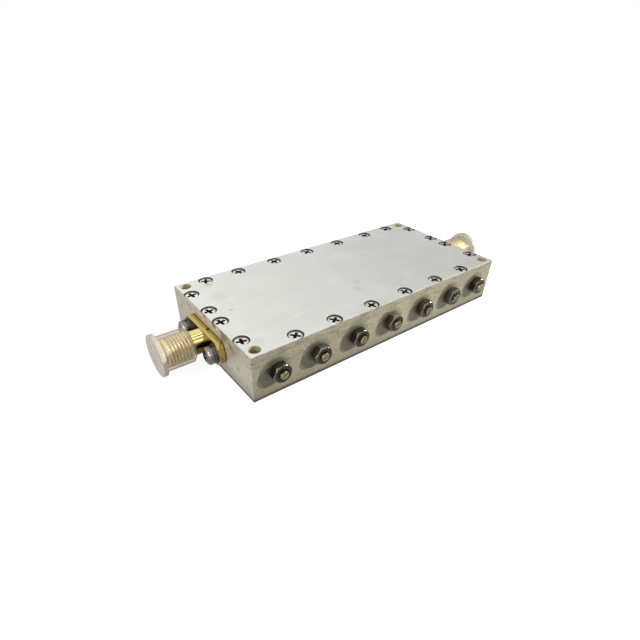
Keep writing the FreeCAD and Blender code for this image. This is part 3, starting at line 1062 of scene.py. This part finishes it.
def lock_nut_part(size, height):
    """Hexagon nut with turned chamfers on both faces and a chamfered bore."""
    segments = 96
    half, bore = size.nut_flats / 2, size.nut_bore / 2
    face = half - 0.06 * MM
    slope = math.tan(math.radians(30))
    soft = 0.14 * MM
    bevel = 0.2 * MM
    lip = 0.01 * MM
    bm = bmesh.new()

    def ring(radius_at, height_at):
        verts = []
        for i in range(segments):
            angle = 2 * math.pi * i / segments
            radius = radius_at(angle)
            spot = radius * math.cos(angle), radius * math.sin(angle), height_at(radius)
            verts.append(bm.verts.new(spot))
        return verts

    def hexagon(angle):
        return half / math.cos((angle % math.radians(60)) - math.radians(30))

    def fall(radius):
        return max(0.0, radius - face) * slope

    half_of_nut = (
        (lambda angle: bore, lambda radius: bevel),
        (lambda angle: bore + bevel, lambda radius: 0.0),
        (lambda angle: face, lambda radius: 0.0),
        (lambda angle: hexagon(angle) - soft, lambda radius: fall(radius) + lip),
        (hexagon, lambda radius: fall(radius) + soft),
    )
    rings = [ring(wide, lambda radius: height - deep(radius)) for wide, deep in half_of_nut]
    rings += [ring(wide, deep) for wide, deep in reversed(half_of_nut)]
    for low, high in zip(rings, rings[1:] + rings[:1]):
        bridge(bm, low, high)
    part = link(mesh_from("lock nut", bm))

    def rubbed(face):
        if face.center.xy.length < bore + bevel:
            return 0
        return 1 if 0.4 < face.normal.z < 0.9 else 0.45 * (face.normal.z <= 0.4)

    mark_faces(part.data, "worn", rubbed)
    smooth(part.data)
    return part


def flange_outline(size, half):
    """Straight long edges along Y and arched ends."""
    top, bend = size.flange_height / 2, size.flange_end
    centre = half - bend
    reach = math.asin(top / bend)
    points = []
    for sign in (1, -1):
        for step in range(25):
            angle = reach * (1 - step / 12)
            points.append((sign * bend * math.sin(angle), sign * (centre + bend * math.cos(angle))))
    return points


def jack_part(size, long_half, overall, nick_at):
    """Flange, collar and threaded barrel as one turned and milled piece."""
    collar, barrel, bore = size.collar / 2, size.barrel / 2, size.bore / 2
    lead = barrel - collar
    tip, round_tip = 0.3 * MM, 0.05 * MM
    outside = [(bore, 0), (collar, 0), (collar, size.barrel_start)]
    outside.append((barrel - 0.01 * MM, size.barrel_start + lead))
    outside += shaft(barrel, size.barrel_start + lead + FLAT, overall - tip, size.pitch)
    mouth = overall - size.socket_depth
    profile = outside + rounded([
        (barrel, overall - tip, 0),
        (barrel - tip, overall, round_tip),
        (size.socket / 2 + SOCKET_EDGE, overall, round_tip),
        (size.socket / 2, overall - SOCKET_EDGE, 0),
    ])[1:] + [(size.socket / 2, mouth), (bore, mouth)]
    part = link(turned("jack", profile, 96, closed=True))
    cut_thread(part, size, size.barrel_start + lead * 0.6, overall - SOCKET_EDGE, barrel)
    flange = link(prism("flange", flange_outline(size, long_half), 0, size.flange, size.edge))
    holes = [(bore + 0.2 * MM, 0)] + [(size.screw_hole / 2, s * size.screw_pitch / 2) for s in (-1, 1)]
    for radius, y in holes:
        outline = [(0, -MM), (radius, -MM), (radius, size.flange + MM), (0, size.flange + MM)]
        hole = turned("hole", outline, 48)
        hole.transform(Matrix.Translation((0, y, 0)))
        combine(flange, link(hole), "DIFFERENCE")
    if nick_at is not None:
        across, deep, high = size.nick, size.nick * 0.8, 0.45 * MM
        outline = [(-size.flange_height, nick_at - across / 2), (deep - size.flange_height / 2, nick_at),
                   (-size.flange_height, nick_at + across)]
        combine(flange, link(prism("nick", outline, -MM, high)), "DIFFERENCE")
    combine(part, flange, "UNION")
    smooth(part.data, 0.6 * SMOOTH_ANGLE)
    return part


def cap_part(size, mouth, end, across):
    """Push-on cap: thin wall, chamfered mouth and a wider closed end."""
    bore, body, rim = size.bore / 2, size.body / 2, across / 2
    chamfer, edge = 0.45 * MM, 0.14 * MM
    floor = end - size.rim
    profile = [(0, end)] + rounded([
        (rim - MM, end, 0),
        (rim, end, edge),
        (rim, floor, edge),
        (body, floor, 0.15 * MM),
        (body, mouth + chamfer, 0.08 * MM),
        (body - chamfer, mouth, 0.06 * MM),
        (bore, mouth, 0.05 * MM),
        (bore, floor, 0.12 * MM),
        (bore - MM, floor, 0),
    ], steps=5) + [(0, floor)]
    part = link(turned("cap", profile, 128))
    smooth(part.data)
    return part


# Operators, one for each piece or group of like pieces

class FILTER_OT_block(bpy.types.Operator):
    """Plate the housing and the cover"""
    bl_idname = "filter.block"
    bl_label = "Block"

    def execute(self, context):
        settings = context.scene.filter_plating
        finish_nodes(["housing"], silver_plate("housing silver", settings, is_cover=False))
        finish_nodes(["cover"], silver_plate("cover silver", settings, is_cover=True))
        return {"FINISHED"}


class FILTER_OT_inside(bpy.types.Operator):
    """Finish the rods and what the jacks hold"""
    bl_idname = "filter.inside"
    bl_label = "Rods and contacts"

    def execute(self, context):
        rods = worn_metal("rod silver", srgb(216, 213, 206), 0.36, (1500.0, 80.0, 1500.0))
        finish_nodes([f"resonator_{i}" for i in STATIONS], rods)
        contact = worn_metal("contact gold", srgb(232, 196, 110), 0.24, (80.0, 1500.0, 1500.0))
        finish_nodes([f"{side}_jack_contact" for side in SIDES], contact)
        finish_nodes([f"{side}_jack_insulator" for side in SIDES], insulator_plastic())
        return {"FINISHED"}


class FILTER_OT_cover_screws(bpy.types.Operator):
    """Set the countersunk screws in the cover"""
    bl_idname = "filter.cover_screws"
    bl_label = "Cover screws"

    def execute(self, context):
        settings = context.scene.filter_cover_screws
        steel = worn_metal(
            "cover screw steel", srgb(242, 241, 236), 0.28, EVEN, dirt=srgb(150, 142, 122), hollow=0.98)
        places = []
        nodes = []
        for row, turns in COVER_SCREW_TURNS.items():
            node = f"{row}_cover_screws"
            nodes.append(node)
            for (low, high), turn in zip(solid_boxes(node), turns, strict=True):
                middle = (low + high) / 2
                places.append((Vector((middle.x, middle.y, high.z - settings.sink)), spin(turn)))
        copies("cover_screw_set", cover_screw_part(settings), places, steel, nodes, "steel")
        return {"FINISHED"}


class FILTER_OT_tuning_screws(bpy.types.Operator):
    """Set the slotted tuning screws"""
    bl_idname = "filter.tuning_screws"
    bl_label = "Tuning screws"

    def execute(self, context):
        settings = context.scene.filter_tuning
        brass = worn_metal(
            "tuning brass", srgb(146, 136, 104), 0.36, (1200.0, 300.0, 1200.0),
            dirt=srgb(96, 86, 60), coat=0.3)
        nodes = [f"tuning_screw_{i}" for i in STATIONS]
        places, overall = on_near_wall(nodes, TUNING_SLOT_TURNS, 0)
        copies("tuning_screw_set", tuning_screw_part(settings, overall), places, brass, nodes, "brass")
        return {"FINISHED"}


class FILTER_OT_lock_nuts(bpy.types.Operator):
    """Set the lock nuts on the near wall"""
    bl_idname = "filter.lock_nuts"
    bl_label = "Lock nuts"

    def execute(self, context):
        settings = context.scene.filter_tuning
        nickel = worn_metal(
            "dark nickel", srgb(42, 40, 30), 0.22, (1600.0, 1600.0, 1600.0), dirt=srgb(36, 33, 25),
            coat=0.45, worn=srgb(106, 103, 88))
        nodes = [f"lock_nut_{i}" for i in STATIONS]
        places, height = on_near_wall(nodes, LOCK_NUT_TURNS, 1)
        copies("lock_nut_set", lock_nut_part(settings, height), places, nickel, nodes, "dark_nickel")
        return {"FINISHED"}


class FILTER_OT_jacks(bpy.types.Operator):
    """Make the threaded jacks and their flanges"""
    bl_idname = "filter.jacks"
    bl_label = "Jacks"

    def execute(self, context):
        settings = context.scene.filter_jack
        gold = jack_gold(settings)
        nick_from_middle = 1.1 * MM
        for side in SIDES:
            low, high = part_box(f"{side}_jack_shell")
            nick_at = nick_from_middle if side == "left" else None
            piece = jack_part(settings, (high.y - low.y) / 2, high.x - low.x, nick_at)
            stand_on_port(piece, f"{side}_threaded_jack", side, gold, f"{side}_jack_shell")
        return {"FINISHED"}


class FILTER_OT_flange_screws(bpy.types.Operator):
    """Set the flange screws and finish their washers"""
    bl_idname = "filter.flange_screws"
    bl_label = "Flange screws"

    def execute(self, context):
        settings = context.scene.filter_flange_screws
        steel = worn_metal(
            "flange screw steel", srgb(132, 131, 126), 0.24, EVEN, dirt=srgb(80, 76, 67), hollow=0.9)
        washer = worn_metal("washer steel", srgb(96, 94, 88), 0.22, EVEN)
        for side in SIDES:
            places = []
            node = f"{side}_flange_screws"
            for (low, high), turn in zip(solid_boxes(node), FLANGE_SCREW_TURNS, strict=True):
                middle = (low + high) / 2
                face = high.x - settings.height if side == "right" else low.x + settings.height
                places.append((Vector((face, middle.y, middle.z)), OUTWARDS[side] @ spin(turn)))
            part = flange_screw_part(settings)
            copies(f"{side}_flange_screw_pair", part, places, steel, [node], "steel")
            finish_nodes([f"{side}_spring_washers", f"{side}_flat_washers"], washer)
        return {"FINISHED"}


class FILTER_OT_dust_caps(bpy.types.Operator):
    """Push the dust caps on the jacks"""
    bl_idname = "filter.dust_caps"
    bl_label = "Dust caps"

    def execute(self, context):
        settings = context.scene.filter_cap
        for side in SIDES:
            low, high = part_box(f"{side}_dust_cap")
            mouth = min(abs(low.x), abs(high.x)) - HALF_LENGTH
            end = max(abs(low.x), abs(high.x)) - HALF_LENGTH
            plastic = cap_plastic(settings, HALF_LENGTH + end - settings.rim)
            piece = cap_part(settings, mouth, end, high.z - low.z)
            stand_on_port(piece, f"{side}_clear_cap", side, plastic, f"{side}_dust_cap")
        return {"FINISHED"}


# Stage

def seen_by(tree):
    """1 where the camera itself looks, and 1 in metal or through plastic, as two values."""
    path = add("ShaderNodeLightPath", tree=tree)
    return path["Is Camera Ray"], most(path["Is Glossy Ray"], path["Is Transmission Ray"])


def in_metal(direction):
    """Strength of the world in metal: dark horizon with thin bands, bright left, strips behind."""
    x, y, z = separate(direction)
    raised = least(x, 0.0) * -0.3 + z
    bands = maths("SINE", raised * 44.0) * spread(raised, 0.34, 0.24, 0.0, 0.9)
    strips = (maths("SINE", y * 15.0 + 0.3) * 0.5 + 0.5) ** 3.0
    beside = spread(y, 0.4, 0.2) * spread(x, 0.2, 0.35)
    height = spread(raised, 0.05, 0.35, 0.15, 1.0) * (bands + 1.0) * mix(beside, 1.0, strips * 4.0)
    return height * least(x * -0.79 + 1.23, 1.4)


def bare_tree(owner):
    """The node tree of a world or a material, without the nodes it comes with."""
    owner.use_nodes = True
    owner.node_tree.nodes.clear()
    return owner.node_tree


def make_world(settings):
    """Even light, a white ground for the camera and a world of its own in the metal."""
    world = bpy.data.worlds.new("studio")
    bpy.context.scene.world = world
    tree = bare_tree(world)
    camera, mirrored = seen_by(tree)
    strength = in_metal(add("ShaderNodeTexCoord", tree=tree)["Generated"])
    light, metal, white = (
        add("ShaderNodeBackground", {"Color": shade, "Strength": level}, tree)[0]
        for shade, level in (
            ((1, 0.97, 0.9), settings.sky),
            ((1, 1, 0.985), strength),
            ((1, 1, 1), 1.0),
        ))
    first = add("ShaderNodeMixShader", {0: mirrored, 1: light, 2: metal})[0]
    second = add("ShaderNodeMixShader", {0: camera, 1: first, 2: white})[0]
    add("ShaderNodeOutputWorld", {"Surface": second})


def make_floor(settings):
    """Pale floor that keeps the filter's shadow."""
    bm = bmesh.new()
    bmesh.ops.create_circle(bm, cap_ends=True, radius=FLOOR_RADIUS, segments=64)
    floor = link(mesh_from("floor", bm))
    material = bpy.data.materials.new("pale floor")
    tree = bare_tree(material)
    camera, mirrored = seen_by(tree)
    added = camera * settings.white + mirrored * settings.ground
    matt = add("ShaderNodeBsdfDiffuse", {"Color": settings.floor}, tree)[0]
    glow = add("ShaderNodeEmission", {"Color": (1, 1, 1), "Strength": added})[0]
    add("ShaderNodeOutputMaterial", {"Surface": add("ShaderNodeAddShader", {0: matt, 1: glow})[0]})
    floor.data.materials.append(material)


def aim(thing, place, target, roll=0.0):
    turn = (Vector(target) - Vector(place)).to_track_quat("-Z", "Y").to_matrix().to_4x4()
    thing.matrix_world = Matrix.Translation(place) @ turn @ Matrix.Rotation(roll, 4, "Z")


def add_lamp(name, kind, power, place, **settings):
    """A lamp that points at the origin."""
    lamp = bpy.data.lights.new(name, kind)
    lamp.energy = power
    for key, value in settings.items():
        setattr(lamp, key, value)
    aim(link(lamp), place, (0, 0, 0))


class FILTER_OT_stage(bpy.types.Operator):
    """Set the camera, the lamps and the floor"""
    bl_idname = "filter.stage"
    bl_label = "Stage"

    def execute(self, context):
        settings = context.scene.filter_stage
        make_world(settings)
        make_floor(settings)
        add_lamp("low key", "SUN", settings.key, (4.1, -2.3, 1.5), angle=math.radians(2))
        add_lamp(
            "soft box", "AREA", settings.box, (0.32, -0.366, 0.352),
            shape="RECTANGLE", size=0.32, size_y=0.12)
        add_lamp("left fill", "SUN", settings.fill, (-1.0, -0.15, 0.45), angle=math.radians(40))
        view = bpy.data.cameras.new("camera")
        view.lens = settings.lens
        view.shift_x, view.shift_y = settings.shift
        view.clip_start, view.clip_end = CAMERA_RANGE
        camera = link(view)
        aim(camera, settings.eye, settings.target, settings.roll)
        context.scene.camera = camera
        context.scene.view_settings.view_transform = "Standard"
        return {"FINISHED"}


OPERATORS = (
    FILTER_OT_block,
    FILTER_OT_inside,
    FILTER_OT_cover_screws,
    FILTER_OT_tuning_screws,
    FILTER_OT_lock_nuts,
    FILTER_OT_jacks,
    FILTER_OT_flange_screws,
    FILTER_OT_dust_caps,
    FILTER_OT_stage,
)


class FILTER_PT_panel(bpy.types.Panel):
    """Pieces and sizes of the filter"""
    bl_idname = "FILTER_PT_panel"
    bl_label = "Cavity filter"
    bl_space_type = "VIEW_3D"
    bl_region_type = "UI"
    bl_category = "Filter"

    def draw(self, context):
        for operator in OPERATORS:
            self.layout.operator(operator.bl_idname)
        for group, kind in SETTINGS.items():
            box = self.layout.box()
            for item in kind.bl_rna.properties:
                if item.identifier not in ("rna_type", "name"):
                    box.prop(getattr(context.scene, group), item.identifier)


CLASSES = (*SETTINGS.values(), *OPERATORS, FILTER_PT_panel)


def register():
    for kind in CLASSES:
        bpy.utils.register_class(kind)
    for group, kind in SETTINGS.items():
        setattr(bpy.types.Scene, group, PointerProperty(type=kind))


def unregister():
    for group in SETTINGS:
        delattr(bpy.types.Scene, group)
    for kind in reversed(CLASSES):
        bpy.utils.unregister_class(kind)


def main():
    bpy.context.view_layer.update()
    register()
    for make in TREES:
        make()
    for operator in OPERATORS:
        group, name = operator.bl_idname.split(".")
        getattr(getattr(bpy.ops, group), name)()


if __name__ == "__main__":
    main()
